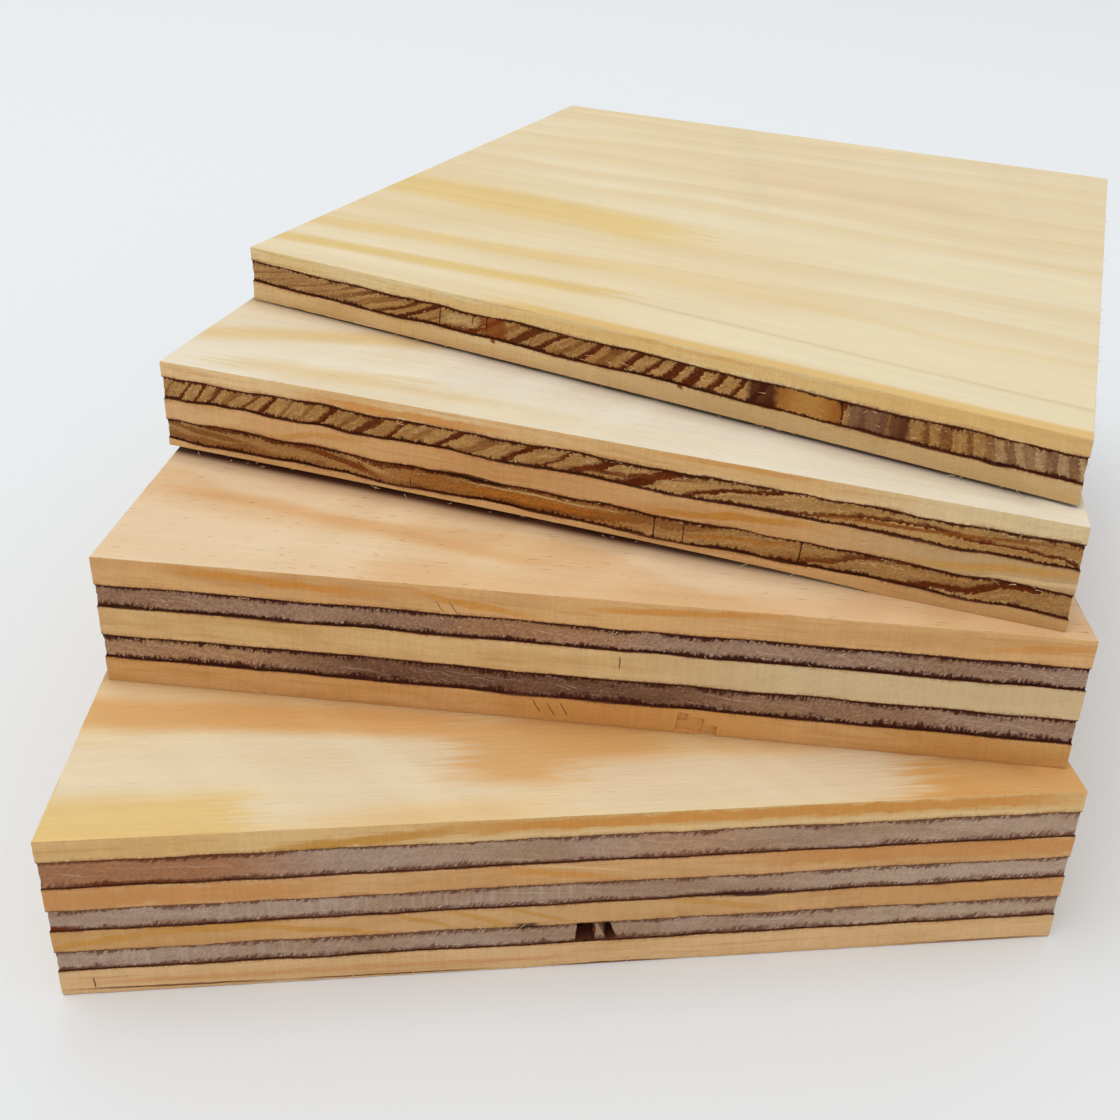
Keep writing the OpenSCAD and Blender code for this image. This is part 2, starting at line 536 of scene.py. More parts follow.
def stain_patch(f, colour, feather, patch):
    """A patch of deeper or paler wood with ragged ends."""
    ragged = (feather - 0.5) * patch.get("ragged", 20.0)
    along_low, along_high = patch["along"]
    across_low, across_high = patch["across"]
    soft = patch.get("soft", 1.5)
    end = patch.get("end", 4.0)
    reach = (f.along + ragged).hump(along_low - end, along_low + end, along_high - end, along_high + end)
    waver = f.noise((24.0, 14.0, 9.0), 1.0, shift=along_high)
    middle = f.across - f.along * patch.get("slope", 0.0) + (waver - 0.5) * patch.get("waver", 3.0)
    band = middle.hump(across_low - soft, across_low + soft, across_high - soft, across_high + soft)
    return f.mix(reach * band * patch.get("strength", 0.8), colour, patch["tone"])


def object_noise(f, size_mm):
    """Noise read at the piece's own object coordinates, for parts that have no place in a sheet."""
    coordinates = f.add("ShaderNodeTexCoord")
    return f.read_noise(coordinates.outputs["Object"], 3.0, 0.5, 1 / (size_mm * MM))


def rough_solid(name, first, second, size_mm, roughness=0.7):
    """Torn wood, glue, or painted shade where no sawn face is left."""
    f = Finish(name)
    blotch = object_noise(f, size_mm)
    fine = object_noise(f, size_mm * 0.3)
    colour = f.mix(blotch.rise(0.35, 0.65), first, second)
    colour = f.shade(colour, 0.7 + fine * 0.6)
    return f.close(colour, roughness + fine * 0.2, blotch * 0.1 + fine * 0.05)


# ---------------------------------------------------------------- tones and figures of each sheet

ORANGE = tone(214, 144, 66)
GOLD = tone(204, 146, 66)
CREAM = tone(232, 196, 142)
UMBER = tone(112, 48, 12)
AMBER = tone(182, 110, 34)

UMBER_LOOK = {
    "early": tone(184, 138, 82), "early_2": tone(170, 122, 68), "late": tone(98, 40, 8),
    "late_2": tone(134, 76, 30), "whisker": tone(232, 200, 146), "whiskers": 0.75,
    "stain": tone(84, 34, 10), "soak": 0.85, "line": 0.27, "reach": 0.4, "haze": 0.4, "contrast": 1.0,
    "wobble": 0.8, "jag": 0.34, "veins": 0.34, "fuzz": 0.34,
}
TAUPE_LOOK = {
    "early": tone(182, 152, 130), "early_2": tone(174, 140, 112), "late": tone(156, 116, 86),
    "late_2": tone(170, 134, 106), "whisker": tone(222, 202, 182), "whiskers": 0.5,
    "stain": tone(108, 62, 44), "soak": 0.85, "line": 0.08, "reach": 1.1, "haze": 1.0, "contrast": 0.2,
    "wobble": 1.0, "jag": 0.1, "pace": 0.05, "quicken": 0.0, "lean": 1.2, "veins": 0.06, "fuzz": 0.26,
    "glue_tone": tone(104, 58, 40), "tick_lean": 0.5,
}
VIOLET_LOOK = dict(
    TAUPE_LOOK, early=tone(168, 134, 110), early_2=tone(156, 118, 90), line=0.26, reach=1.0, haze=2.0,
    soak=0.96, stain=tone(72, 34, 22), glue_tone=tone(58, 22, 14), fuzz=0.5, tick_lean=0.0,
)
PALE_LOOK = {
    "pale": tone(222, 174, 120), "pale_2": tone(210, 158, 102), "streak": tone(194, 136, 76),
    "streaks": 0.4,
}
END_LOOK = dict(
    UMBER_LOOK, early=tone(222, 182, 128), early_2=tone(212, 170, 116), late=tone(178, 118, 62),
    late_2=tone(196, 142, 86), whiskers=0.25, soak=0.3, pace=0.2, quicken=0.0, contrast=0.5, line=0.1,
    reach=0.2, haze=0.2, wobble=1.0, jag=0.12, veins=0.2, fuzz=0.2, starts=0.6,
)
SIDE_LOOK = dict(
    PALE_LOOK, pale=tone(208, 162, 110), pale_2=tone(196, 148, 96), streak=tone(160, 108, 62), streaks=0.5,
)

# The marks along an edge, in mm along it and in shares of the ply's thickness up it. Zones and resin: start,
# stop, softness, tone and strength. Lenses and blobs: start, stop, the heights there, half thickness, tone
# and strength. Cracks: place, lower end, upper end, half width and lean. Calm: start, stop and share.
CROSSBAND_LOOKS = {
    "bottom_crossband_1": dict(
        TAUPE_LOOK, shift=1.0,
        zones=(
            (-9, 22, 7.0, tone(176, 112, 66), 0.75), (54, 68, 5.0, tone(190, 140, 96), 0.5),
            (78, 110, 9.0, tone(194, 162, 134), 0.5),
        ),
        blobs=(
            (-1, 24, 0.97, 0.97, 0.12, tone(96, 40, 10), 0.6),
            (-1, 18, 0.04, 0.04, 0.12, tone(104, 44, 12), 0.6),
        ),
    ),
    "bottom_crossband_2": dict(
        TAUPE_LOOK, shift=2.0, bars=(14, 52),
        zones=((74, 110, 9.0, tone(196, 168, 142), 0.6),),
        blobs=(
            (-3, 3.5, 0.1, 0.0, 0.22, tone(110, 44, 8), 0.95),
            (62, 72, 0.0, 0.0, 0.16, tone(66, 34, 34), 0.8),
        ),
    ),
    "bottom_crossband_3": dict(
        TAUPE_LOOK, shift=3.0, bars=(0, 24),
        zones=((74, 110, 9.0, tone(198, 170, 144), 0.6),),
        blobs=((42, 48, 1.0, 1.0, 0.14, tone(60, 34, 34), 0.85),),
    ),
    "second_crossband_1": dict(
        VIOLET_LOOK, shift=4.0, reach=0.5, haze=1.0,
        zones=((38, 56, 3.0, tone(178, 126, 84), 0.6),),
    ),
    "second_crossband_2": dict(
        VIOLET_LOOK, shift=5.0, haze=1.3,
        zones=((-5, 19, 4.0, tone(186, 144, 106), 0.8), (24, 64, 6.0, tone(106, 66, 44), 0.8)),
    ),
    "third_crossband_1": dict(
        UMBER_LOOK, pace=0.5, quicken=-0.0029, lean=-1.15, wobble=0.7,
        lenses=((48, 66, 0.1, 0.9, 0.14, UMBER, 0.9), (70, 102, 0.1, 0.85, 0.1, tone(140, 78, 26), 0.9)),
    ),
    "third_crossband_2": dict(
        UMBER_LOOK, pace=-0.03, quicken=0.0006, lean=-0.9, wobble=1.0, shift=4.0,
        zones=((30, 58, 3.0, tone(158, 96, 34), 0.7),),
        lenses=(
            (-4, 15, 0.95, 0.3, 0.14, tone(134, 78, 28), 0.8),
            (15, 31, 1.0, 0.1, 0.2, tone(126, 58, 12), 0.95),
            (21, 30, 1.05, 0.42, 0.06, tone(206, 164, 104), 0.7), (34, 59, 0.5, 0.45, 0.24, AMBER, 0.75),
            (34, 58, 0.76, 0.72, 0.06, tone(220, 186, 130), 0.7), (60, 76, 0.25, 0.85, 0.12, AMBER, 0.7),
        ),
        blobs=((33, 46, 1.0, 0.98, 0.2, tone(52, 18, 6), 0.95),),
        cracks=(
            (59.5, 0.1, 0.9, 0.09, 0.0), (62.6, 0.1, 0.7, 0.07, 0.0), (74.5, 0.1, 0.95, 0.1, 0.2),
            (31.6, 0.1, 0.4, 0.06, 0.0),
        ),
    ),
    "top_crossband": dict(
        UMBER_LOOK, pace=0.22, quicken=0.0015, lean=-3.1, lean_turn=0.036, wobble=0.5, starts=0.6,
        calm=((-9, 17, 0.65), (80, 110, 0.4)),
        zones=((-6, 15, 4.0, tone(178, 132, 84), 0.8), (92, 104, 2.0, tone(178, 148, 112), 0.6)),
        lenses=(
            (28.5, 35.5, 0.4, 0.7, 0.34, tone(204, 166, 112), 0.85), (29, 36, -0.1, 0.3, 0.2, UMBER, 0.9),
        ),
        resin=(
            (34.6, 38.2, 0.4, tone(142, 70, 22), 0.8), (67.4, 70.4, 0.4, tone(74, 28, 14), 0.9),
            (70.6, 77.2, 0.5, tone(176, 112, 46), 0.85), (72.2, 75.4, 0.9, tone(204, 152, 80), 0.6),
            (78.0, 81.8, 0.5, tone(120, 82, 66), 0.7), (82, 84.0, 0.4, tone(92, 46, 30), 0.8),
        ),
        cracks=(
            (29.0, 0.1, 0.95, 0.1, 0.1), (33.4, 0.5, 0.95, 0.07, 0.3), (35.6, 0.3, 0.9, 0.07, 0.0),
            (77.4, 0.1, 0.95, 0.09, -0.2),
        ),
        blobs=((90.5, 94.5, 0.02, 0.02, 0.16, tone(60, 20, 10), 0.9),),
    ),
}
LONG_LOOKS = {
    "bottom_face": dict(
        pale=tone(230, 190, 130), pale_2=tone(222, 178, 116), shift=0.5,
        lenses=(
            (17, 42, -0.1, 0.7, 0.3, GOLD, 0.9), (34, 103, 0.62, 0.72, 0.32, ORANGE, 0.85),
            (30, 103, 0.16, 0.2, 0.13, CREAM, 0.8),
        ),
    ),
    "bottom_inner_1": dict(
        shift=2.0,
        lenses=(
            (-30, 32, 0.7, 0.4, 0.6, tone(208, 142, 82), 0.7),
            (62, 140, 0.8, 0.3, 0.5, tone(206, 140, 78), 0.75), (40, 56, 0.95, 0.05, 0.2, ORANGE, 0.7),
            (42, 58, 1.15, 0.3, 0.06, CREAM, 0.6),
        ),
    ),
    "bottom_inner_2": dict(
        shift=3.0,
        zones=((-9, 20, 8.0, tone(204, 152, 92), 0.6), (30, 66, 9.0, tone(206, 162, 108), 0.5)),
        lenses=(
            (-3, 11, 0.05, 0.8, 0.2, GOLD, 0.8), (6, 24, 0.8, 0.8, 0.24, GOLD, 0.75),
            (17, 34, 0.85, -0.05, 0.16, GOLD, 0.8), (31, 39, 1.1, 0.0, 0.14, GOLD, 0.7),
            (36, 45, 1.1, -0.05, 0.16, tone(206, 148, 70), 0.7), (42, 51, 1.1, -0.05, 0.12, GOLD, 0.7),
            (57, 72, 1.1, 0.1, 0.2, GOLD, 0.6), (82, 104, 0.9, 0.7, 0.3, ORANGE, 0.25),
        ),
        blobs=(
            (43.6, 46.6, 0.04, 0.0, 0.2, tone(58, 32, 30), 0.9),
            (64, 71, 0.98, 0.98, 0.1, tone(66, 36, 36), 0.9),
        ),
    ),
    "bottom_back": dict(
        pale=tone(230, 188, 136), pale_2=tone(222, 178, 124), shift=4.0,
        # The thin dark lenses low in this ply are painted shade: from -2 to 44 mm the shade in a split near
        # the lower arris, from 46 mm on a contact shadow along the lower arris.
        lenses=(
            (-3, 54, 0.45, 0.4, 0.12, tone(216, 152, 96), 0.6),
            (-2, 24, 0.22, 0.12, 0.05, tone(112, 64, 38), 0.9),
            (18, 44, 0.13, 0.07, 0.04, tone(110, 60, 34), 0.9),
            (46, 62, 0.05, 0.03, 0.05, tone(110, 60, 34), 0.9),
            (82, 102, 0.06, 0.05, 0.05, tone(140, 84, 50), 0.8),
        ),
        cracks=((3.2, 0.3, 0.6, 0.07, 0.0),),
    ),
    "second_face": dict(
        pale=tone(226, 176, 118), shift=5.0,
        lenses=(
            (4, 35, 0.85, 0.42, 0.2, ORANGE, 0.85), (31, 48, 0.8, 0.05, 0.16, ORANGE, 0.8),
            (48, 74, 0.55, 0.98, 0.14, ORANGE, 0.8), (88, 103, 0.3, 0.8, 0.16, ORANGE, 0.6),
        ),
        cracks=((37, 0.1, 0.4, 0.05, -2.0), (38.4, 0.1, 0.4, 0.05, -2.0)),
    ),
    "second_inner": dict(
        pale=tone(226, 188, 132), pale_2=tone(214, 170, 112), streaks=0.3, shift=6.0,
        zones=((60, 110, 14.0, tone(216, 190, 146), 0.75),),
        cracks=((54.8, 0.44, 0.78, 0.07, 0.0),),
    ),
    "second_back": dict(
        pale=tone(220, 170, 112), pale_2=tone(206, 150, 86), shift=7.0,
        zones=((44, 72, 5.0, tone(214, 154, 86), 0.7),),
        cracks=((47.4, 0.4, 0.8, 0.06, -1.6), (48.8, 0.3, 0.7, 0.06, -1.6), (50.2, 0.35, 0.75, 0.05, -1.6)),
    ),
    "third_face": dict(
        pale=tone(238, 202, 150), pale_2=tone(224, 180, 122), shift=8.0,
        zones=((82, 110, 8.0, tone(228, 204, 158), 0.7),),
        lenses=((14, 48, 0.3, 0.35, 0.35, ORANGE, 0.75), (56, 78, 0.85, 0.8, 0.2, ORANGE, 0.5)),
    ),
    "third_inner": dict(
        shift=9.0,
        zones=((80, 110, 9.0, tone(190, 156, 110), 0.7),),
        lenses=(
            (-4, 14, 0.5, 0.5, 0.5, CREAM, 0.5), (12, 28, 0.05, 0.9, 0.2, GOLD, 0.6),
            (55, 80, 0.0, 0.95, 0.2, tone(196, 132, 52), 0.85), (82, 104, 0.05, 0.95, 0.2, GOLD, 0.7),
            (86, 106, -0.2, 0.6, 0.12, CREAM, 0.6),
        ),
        blobs=((34, 45, 0.03, 0.02, 0.1, tone(52, 18, 6), 0.9),),
    ),
    "third_back": dict(
        pale=tone(228, 180, 122), pale_2=tone(216, 166, 108), shift=10.0,
        zones=((80, 110, 9.0, tone(190, 144, 92), 0.6),),
    ),
    "top_face": dict(
        pale=tone(236, 211, 160), pale_2=tone(233, 202, 144), shift=11.0,
        zones=((78, 110, 9.0, tone(220, 174, 106), 0.6),),
        lenses=(
            (17, 104, 0.35, 0.5, 0.42, tone(228, 184, 112), 0.6),
            (46, 74, 0.78, 0.8, 0.12, tone(220, 158, 70), 0.5),
        ),
    ),
    "top_back": dict(
        pale=tone(230, 196, 142), pale_2=tone(216, 174, 118), streaks=0.15, shift=12.0,
        zones=((50, 110, 14.0, tone(206, 170, 118), 0.7),),
        # The two lenses at the lower arris are painted shade: an olive line at the left and a red-brown gap
        # shadow further right.
        lenses=(
            (-4, 34, 0.0, 0.0, 0.14, tone(150, 108, 44), 0.8),
            (26, 104, 0.0, 0.0, 0.07, tone(116, 44, 16), 0.9),
        ),
        blobs=(
            (35.9, 36.9, 1.0, 0.9, 0.22, tone(120, 44, 14), 0.9),
            (59.4, 60.4, 1.0, 0.9, 0.2, tone(104, 40, 14), 0.9),
            (90.5, 94, 1.0, 1.0, 0.08, tone(60, 20, 10), 0.9),
        ),
    ),
}


def patch(along, across, shade, strength, **more):
    """A patch on a peeled face: its reach along and across in mm, its tone and how strongly it shows."""
    return dict(more, along=along, across=across, tone=shade, strength=strength)


FACE_LOOKS = {
    "bottom": {
        "shadow": 0.35, "early": tone(242, 218, 172), "early_2": tone(238, 204, 148),
        "late": tone(226, 172, 98), "pace": 0.07, "drift": 0.01, "flow": 3.0, "contrast": 0.6,
        "flecks": 0.2, "fleck": tone(150, 100, 60),
        "patches": (
            patch((-20, 46), (2, 11.5), tone(240, 220, 184), 0.9),
            patch((-20, 19), (-3, 4.5), tone(236, 200, 124), 0.85),
            patch((-20, 40), (13, 17), tone(226, 168, 98), 0.8, slope=-0.08, soft=1.0),
            patch((38, 60), (5, 13), tone(226, 172, 104), 0.85, slope=-0.02, ragged=13.0, soft=1.0),
            patch((50, 84), (0, 6), tone(238, 216, 180), 0.85, ragged=14.0, soft=1.2),
            patch((84, 120), (-3, 9), tone(222, 164, 92), 0.8),
        ),
    },
    "second": {
        "shadow": 0.92, "fade": 45.0, "early": tone(240, 212, 172), "early_2": tone(238, 204, 158),
        "late": tone(228, 178, 118), "pace": 0.09, "drift": 0.024, "flow": 2.0, "contrast": 0.5,
        "flecks": 0.6, "fleck": tone(140, 84, 50),
        "patches": (
            patch((4, 46), (13, 15), tone(228, 172, 112), 0.6, slope=-0.2, soft=0.8),
            patch((-10, 30), (4, 8), tone(240, 214, 174), 0.7, slope=-0.04),
            patch((30, 110), (-3, 3), tone(230, 180, 124), 0.5),
        ),
    },
    "third": {
        "torn": 0.11, "early": tone(244, 232, 206), "early_2": tone(243, 226, 194),
        "late": tone(232, 200, 146), "pace": 0.06, "drift": -0.02, "flow": 2.4, "contrast": 0.6,
        "flecks": 0.25, "fleck": tone(180, 140, 100),
        "patches": (
            patch((-10, 34), (7, 11), tone(234, 202, 142), 0.85, slope=0.24, soft=1.6),
            patch((6, 44), (0, 3), tone(234, 204, 148), 0.7, slope=0.09, soft=1.2),
            patch((30, 74), (4, 18), tone(244, 234, 214), 0.7),
        ),
    },
    "top": {
        "early": tone(240, 222, 184), "early_2": tone(238, 216, 172), "late": tone(230, 200, 146),
        "pace": 0.11, "drift": -0.006, "flow": 1.8, "contrast": 0.45, "flecks": 0.1,
        "fleck": tone(170, 140, 100),
        "patches": (
            patch(
                (-20, 48), (30, 39), tone(233, 199, 124), 0.8,
                slope=-0.03, soft=2.2, ragged=34.0, waver=3.0, end=9.0,
            ),
            patch((-20, 44), (11.5, 15), tone(233, 202, 136), 0.8, slope=0.1, soft=1.0, end=8.0, waver=1.5),
            patch((40, 110), (17.5, 19.5), tone(234, 206, 150), 0.6, slope=-0.02, soft=1.2, end=8.0),
            patch((-20, 48), (4.4, 7.0), tone(230, 196, 122), 0.85, slope=0.07, soft=0.8, waver=1.0),
            patch(
                (44, 110), (10.4, 11.0), tone(206, 184, 138), 0.45,
                slope=-0.048, soft=0.4, waver=1.4, end=9.0,
            ),
            patch((37, 120), (-1, 1.6), tone(226, 184, 104), 0.8, soft=0.5, waver=1.0),
            patch((-20, 110), (45, 48), tone(232, 206, 154), 0.5),
            patch((44, 84), (62, 68), tone(232, 204, 160), 0.6),
        ),
    },
}


# ---------------------------------------------------------------- the veneers


def sawn_blank(width, depth):
    """A slab of unit thickness with finely divided edges, from which every ply is copied."""
    bpy.ops.mesh.primitive_cube_add(size=1, location=(width / 2, depth / 2, 0.5), scale=(width, depth, 1))
    blank = bpy.context.object
    blank.name = "sawn_blank"
    apply_place(blank)
    pick(blank, "polygons", lambda face: abs(face.normal.z) > 0.5)
    bpy.ops.mesh.delete(type="ONLY_FACE")
    leave_edit()

    def height_change(edge):
        ends = [blank.data.vertices[index].co.z for index in edge.vertices]
        return abs(ends[0] - ends[1])

    pick(blank, "edges", lambda edge: height_change(edge) < 0.001)
    bpy.ops.mesh.subdivide(number_cuts=RIM_STEPS - 1)
    leave_edit()
    pick(blank, "edges", lambda edge: height_change(edge) > 0.001)
    bpy.ops.mesh.subdivide(number_cuts=EDGE_ROWS - 1)
    leave_edit()
    def lies_at(edge, level):
        return all(abs(blank.data.vertices[index].co.z - level) < 0.001 for index in edge.vertices)

    for level in (0, 1):
        pick(blank, "edges", lambda edge: lies_at(edge, level))
        bpy.ops.mesh.edge_face_add()
        bpy.ops.mesh.inset(thickness=RIM_INSET)
        leave_edit()
    pick(blank, "polygons", lambda face: True)
    bpy.ops.mesh.normals_make_consistent(inside=False)
    leave_edit()
    return blank


def store_place(piece, low, thickness):
    """Writes each vertex's place in its sheet, and how far through the ply it lies, for the finishes."""
    mesh = piece.data
    mesh.attributes.new("sheet_mm", "FLOAT_VECTOR", "POINT")
    mesh.attributes.new("through", "FLOAT", "POINT")
    places = [value / MM for vertex in mesh.vertices for value in vertex.co]
    mesh.attributes["sheet_mm"].data.foreach_set("vector", places)
    heights = [(vertex.co.z - low) / thickness for vertex in mesh.vertices]
    mesh.attributes["through"].data.foreach_set("value", heights)


def mend_place(piece, sheet, node):
    """Gives the vertices that a cut has added their true place in the sheet, which the cut does not know."""
    low, thickness = sheet.ply(node)
    mesh = piece.data
    to_sheet = Matrix.Rotation(-sheet.turn, 4, "Z") @ Matrix.Translation(-sheet.place)
    places = mesh.attributes["sheet_mm"].data
    heights = mesh.attributes["through"].data
    for vertex, place, height in zip(mesh.vertices, places, heights):
        co = to_sheet @ vertex.co
        aside = co / MM - place.vector
        if math.hypot(aside.x, aside.y) > 0.8:
            place.vector = co / MM
            height.value = (co.z - low) / thickness


def break_arris(piece, level):
    """Takes the sharpness off the outer arris at that height."""
    vertices = piece.data.vertices
    reach = RIM_INSET / 2
    xs = [vertex.co.x for vertex in vertices]
    ys = [vertex.co.y for vertex in vertices]
    low_x, high_x, low_y, high_y = min(xs), max(xs), min(ys), max(ys)

    def outer(index):
        co = vertices[index].co
        side = min(co.x - low_x, high_x - co.x, co.y - low_y, high_y - co.y) < reach
        return side and abs(co.z - level) < 1e-6

    pick(piece, "edges", lambda edge: outer(edge.vertices[0]) and outer(edge.vertices[1]))
    bpy.ops.mesh.bevel(offset=ARRIS, segments=2, profile=0.6)
    leave_edit()


def cut_ply(blank, sheet, node, lies_on_ply, bears_ply, setback):
    """Copies the blank for one ply, and sets its sawn edges back a little if it is a softer crossband."""
    low, thickness = sheet.ply(node)
    piece = copy_of(blank, node + "_veneer")
    piece.scale = (1 - 2 * setback / sheet.width, 1 - 2 * setback / sheet.depth, thickness)
    piece.location = (setback, setback, low)
    apply_place(piece)
    if not bears_ply:
        break_arris(piece, low + thickness)
    if not lies_on_ply:
        break_arris(piece, low)
    store_place(piece, low, thickness)
    return piece


def roughen(piece, sheet, node, lies_on_ply, bears_ply, relief, setback):
    """Waves the glued faces at the edges, gives the sawn edges relief, and frays the outer arrises."""
    low, thickness = sheet.ply(node)
    near = setback + RIM_INSET / 2

    def inward(co):
        return min(co.x, sheet.width - co.x, co.y, sheet.depth - co.y)

    def rim(co):
        return 1.0 if inward(co) < near else 0.0

    def through(co):
        return (co.z - low) / thickness

    def frayed(co):
        lump = noise.noise(Vector((co.x, co.y, co.z)) / (1.1 * MM))
        lump = lump * 0.6 + 0.6 * noise.noise(Vector((co.x, co.y, 0.01)) / (4.5 * MM))
        return rim(co) * max(0.0, lump - 0.12) * 2.4

    weigh(piece, "over", lambda co: rim(co) * through(co) * bears_ply)
    weigh(piece, "under", lambda co: rim(co) * (1 - through(co)) * lies_on_ply)
    weigh(piece, "front_back", lambda co: min(co.y, sheet.depth - co.y) < near)
    weigh(piece, "left_right", lambda co: min(co.x, sheet.width - co.x) < near)
    weigh(piece, "top_nicks", lambda co: frayed(co) * (not bears_ply) * (through(co) > 0.999))
    weigh(piece, "low_nicks", lambda co: frayed(co) * (not lies_on_ply) * (through(co) < 0.001))
    piece.location = sheet.place
    piece.rotation_euler = (0, 0, sheet.turn)
    bpy.context.view_layer.update()
    waves = WAVES_MM[sheet.name]
    displace(piece, WAVE, waves, "Z", "over")
    displace(piece, WAVE, waves, "Z", "under")
    displace(piece, FUZZ, relief, "Y", "front_back")
    displace(piece, FUZZ, relief, "X", "left_right")
    displace(piece, None, -NICK_MM, "Z", "top_nicks", 0.0)
    displace(piece, None, NICK_MM, "Z", "low_nicks", 0.0)
    apply_place(piece)
    piece.vertex_groups.clear()


def carve(piece, cutter):
    """Cuts the cutter's shape out of the piece and throws the cutter away."""
    faces_before = len(piece.data.polygons)
    activate(piece)
    modifier = piece.modifiers.new("carve", "BOOLEAN")
    modifier.operation = "DIFFERENCE"
    modifier.solver = "EXACT"
    modifier.object = cutter
    bpy.ops.object.modifier_apply(modifier=modifier.name)
    bpy.data.objects.remove(cutter)
    if len(piece.data.polygons) < faces_before / 2:
        raise RuntimeError("the cut has emptied " + piece.name)


def place_in_sheet(piece, sheet):
    """Moves something made in the sheet's own frame to where the sheet lies."""
    piece.location = sheet.place
    piece.rotation_euler = (0, 0, sheet.turn)
    apply_place(piece)


def scoop(piece, sheet, along_mm, half_mm, deep_mm, rise_mm):
    """A shallow hollow along the sheet's lower front edge, where it and the one below have warped apart."""
    bpy.ops.mesh.primitive_uv_sphere_add(segments=96, ring_count=32, radius=1)
    cutter = shaped((half_mm * MM, deep_mm * MM, rise_mm * MM), (0, 0, 0), (along_mm * MM, 0, 0))
    # The hollow's inside takes the dark glue finish as painted shade, so that the gap under the edge reads
    # dark.
    cutter.data.materials.append(GLUE_AND_GAP_SHADE)
    place_in_sheet(cutter, sheet)
    carve(piece, cutter)


def rough_peg(sheet, sides, half_mm, spot, height, lean, finish, lumps_mm):
    """An upright lumpy cylinder in the sheet, half as wide along and across as half_mm says."""
    bpy.ops.mesh.primitive_cylinder_add(vertices=sides, radius=1, depth=1)
    peg = shaped((half_mm[0] * MM, half_mm[1] * MM, height), (0, lean, 0), spot)
    pick(peg, "edges", lambda edge: True)
    bpy.ops.mesh.subdivide(number_cuts=3)
    leave_edit()
    peg.data.materials.append(finish)
    place_in_sheet(peg, sheet)
    displace(peg, FUZZ, lumps_mm)
    return peg


def knot_hole(piece, sheet, node):
    """The hole that a dropped knot leaves at the front edge, with a stub of brown wood still in it."""
    low, thickness = sheet.ply(node)
    # The cuts leave a near-black finish on the hole's walls as painted shade in the cavity.
    for along_mm, half_mm, lean, share in KNOT_CUTS:
        middle = low + thickness * min(0.5, share / 2)
        spot = (along_mm * MM, 0.2 * MM, middle)
        carve(piece, rough_peg(sheet, 40, half_mm, spot, thickness * share, lean, KNOT_HOLE_SHADE, 0.35))
    spot = (52.35 * MM, 1.1 * MM, low + thickness * 0.5)
    join_to(piece, [rough_peg(sheet, 24, (0.42, 0.7), spot, thickness * 0.96, 0.16, KNOT_WOOD, 0.3)])


def chip(piece, sheet, node):
    """A blocky chip torn out of the front edge in steps."""
    low = sheet.ply(node)[0]
    for along_mm, wide_mm, up_mm, high_mm, deep_mm in CHIP_CUTS:
        bpy.ops.mesh.primitive_cube_add(size=1)
        size = (wide_mm * MM, 2 * deep_mm * MM, high_mm * MM)
        cutter = shaped(size, (0.05, 0.1, 0.04), (along_mm * MM, 0, low + up_mm * MM))
        cutter.data.materials.append(TORN_WOOD)
        place_in_sheet(cutter, sheet)
        carve(piece, cutter)


def join_to(piece, others):
    """Makes the others part of the piece."""
    bpy.ops.object.select_all(action="DESELECT")
    for other in others:
        other.select_set(True)
    piece.select_set(True)
    bpy.context.view_layer.objects.active = piece
    bpy.ops.object.join()


def whisker_blank():
    """One tapering fibre with a bent tip, lying along +X from the origin."""
    bpy.ops.mesh.primitive_cone_add(vertices=5, radius1=1, radius2=0.55, depth=1, end_fill_type="TRIFAN")
    fibre = shaped((0.045 * MM, 0.045 * MM, 0.5 * MM), (0, math.pi / 2, 0), (0.25 * MM, 0, 0))
    fibre.name = "fibre_blank"
    pick(fibre, "polygons", lambda face: face.normal.x > 0.7)
    bpy.ops.mesh.extrude_region_move(TRANSFORM_OT_translate={"value": (0.32 * MM, 0, 0.06 * MM)})
    bpy.ops.transform.resize(value=(1, 0.6, 0.6))
    bpy.ops.mesh.extrude_region_move(TRANSFORM_OT_translate={"value": (0.26 * MM, 0, 0.12 * MM)})
    bpy.ops.transform.resize(value=(1, 0.3, 0.3))
    leave_edit()
    fibre.data.materials.append(FIBRE)
    return fibre


def grow_whiskers(piece, sheet, fibre, rows):
    """Loose fibres standing off the sawn edges, in rows."""
    grown = []
    for side, start_mm, stop_mm, up_mm, spread_mm, count, longest in rows:
        for _ in range(count):
            one = copy_of(fibre, "fibre")
            place_mm = chance.uniform(start_mm, stop_mm)
            height = up_mm + chance.uniform(-spread_mm, spread_mm)
            size = chance.uniform(0.3, 1.0) * longest
            one.scale = (size, chance.uniform(0.6, 1.1), chance.uniform(0.6, 1.1))
            if side == "front":
                one.location = (place_mm * MM, 0.06 * MM, height * MM)
                aim = -math.pi / 2 + chance.choice((-1, 1)) * chance.uniform(0.5, 1.5)
            elif side == "left":
                one.location = (0.06 * MM, place_mm * MM, height * MM)
                aim = math.pi + chance.uniform(-1.2, 1.2)
            else:
                one.location = (sheet.width - 0.06 * MM, place_mm * MM, height * MM)
                aim = chance.uniform(-1.2, 1.2)
            one.rotation_euler = (chance.uniform(0, 6.28), chance.uniform(-0.7, 0.5), aim)
            apply_place(one)
            place_in_sheet(one, sheet)
            grown.append(one)
    if grown:
        join_to(piece, grown)


WAVE = clouds("glue_face_waves", 8.0)
FUZZ = clouds("sawn_edge_relief", 0.7)
WAVES_MM = {"bottom": 0.45, "second": 0.45, "third": 1.2, "top": 0.7}
ARRIS = 0.1 * MM
NICK_MM = 0.16
